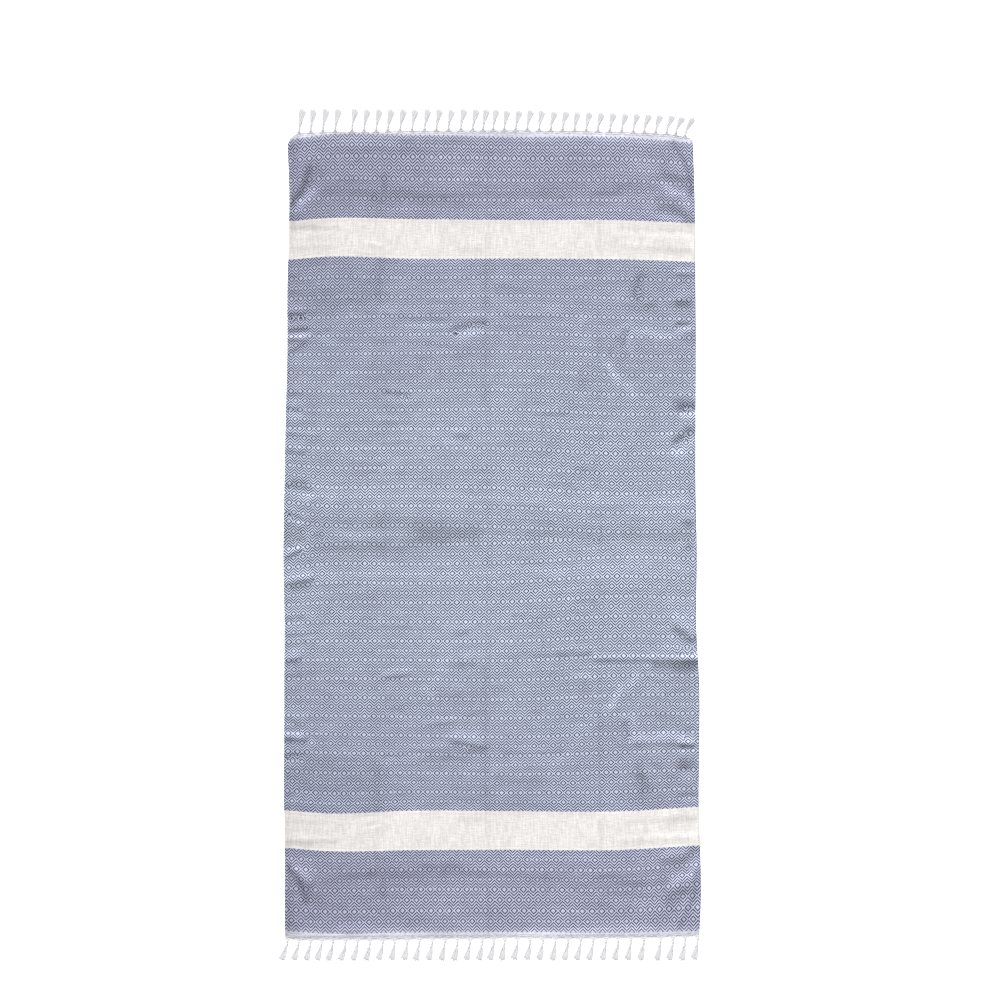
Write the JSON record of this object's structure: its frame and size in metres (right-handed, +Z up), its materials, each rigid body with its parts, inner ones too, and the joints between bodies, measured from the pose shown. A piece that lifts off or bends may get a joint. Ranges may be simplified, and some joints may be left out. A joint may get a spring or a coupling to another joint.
{
  "type": "hammam towel",
  "caption": "Flat-woven blue and white hammam towel with a diamond weave, plain white cross bands and twisted tassels, laid out flat.",
  "frame": {"origin": "middle of the footprint, on the surface that the towel lies on", "axes": "+X across the cloth, +Y along it towards the far hem, +Z up from the surface"},
  "size_m": [0.92, 1.8646, 0.0077],
  "materials": {
    "blue_weave": "matt flat-woven cotton, navy and pale blue yarns in a diamond twill, with two off-white cross bands",
    "pale_yarn": "matt twisted cotton yarn"
  },
  "bodies": {
    "root": {"towel_cloth": "blue_weave", "fringe_far": "pale_yarn", "fringe_near": "pale_yarn"}
  },
  "joints": []
}
